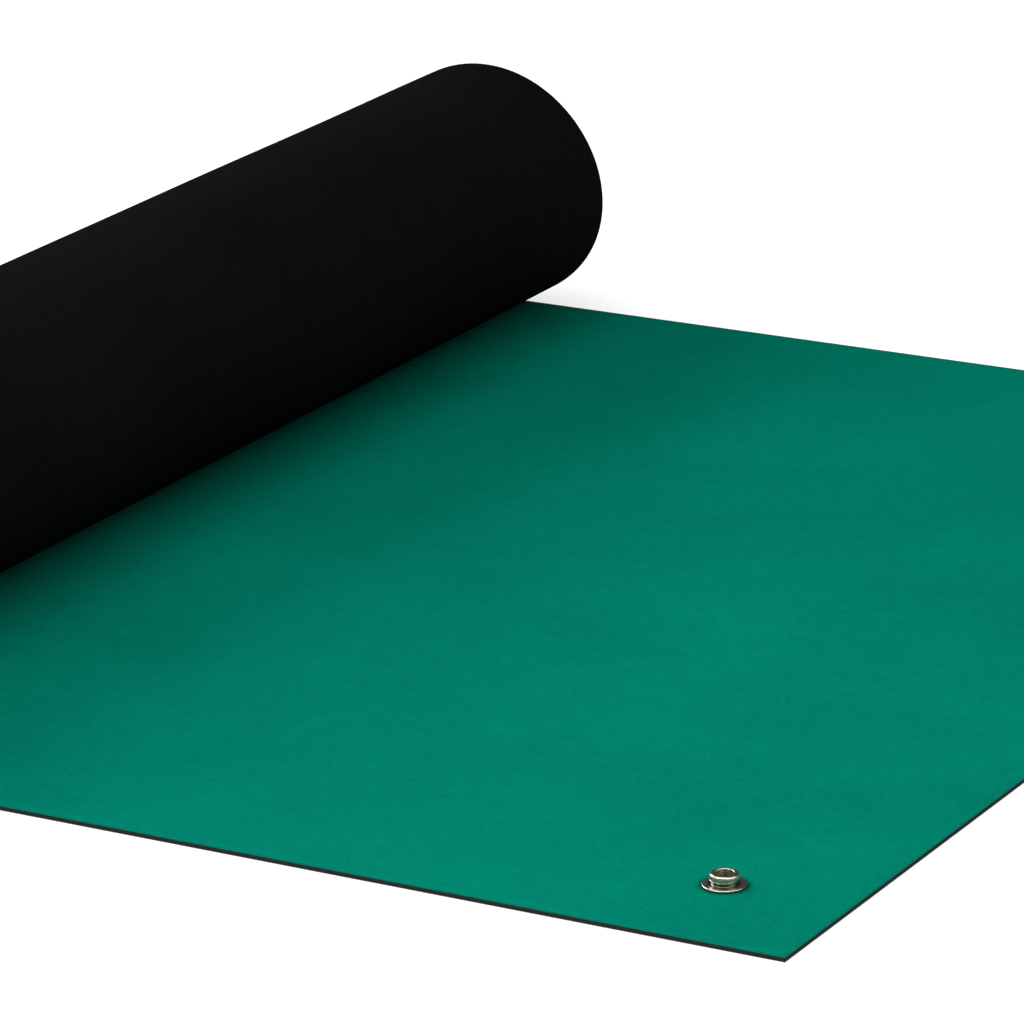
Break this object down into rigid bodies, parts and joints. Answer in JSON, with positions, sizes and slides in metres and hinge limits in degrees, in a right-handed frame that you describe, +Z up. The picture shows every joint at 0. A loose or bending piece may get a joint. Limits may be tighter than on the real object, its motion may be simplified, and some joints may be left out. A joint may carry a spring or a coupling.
{
  "type": "anti-static bench mat",
  "caption": "Anti-static rubber bench mat, green over black, flat at its free end and loosely rolled at its far end, with a snap stud near a free corner.",
  "frame": {"origin": "on the bench surface, under the middle of the mat as it lies, roll included", "axes": "+X along the sheet from the roll to the free end, +Y across the sheet along the roll, +Z up"},
  "size_m": [0.5046, 0.6, 0.104],
  "materials": {
    "black_rubber": "very matte conductive rubber, near black, with a fine pressed grain",
    "green_rubber": "smooth matte dissipative rubber, blue-green, with a faint fine texture",
    "stud_metal": "bright plated brass, pale and slightly warm, with turned edges"
  },
  "bodies": {
    "root": {"base_layer": "black_rubber", "top_layer": "green_rubber", "snap_stud": "stud_metal", "snap_post": "stud_metal"}
  },
  "joints": []
}
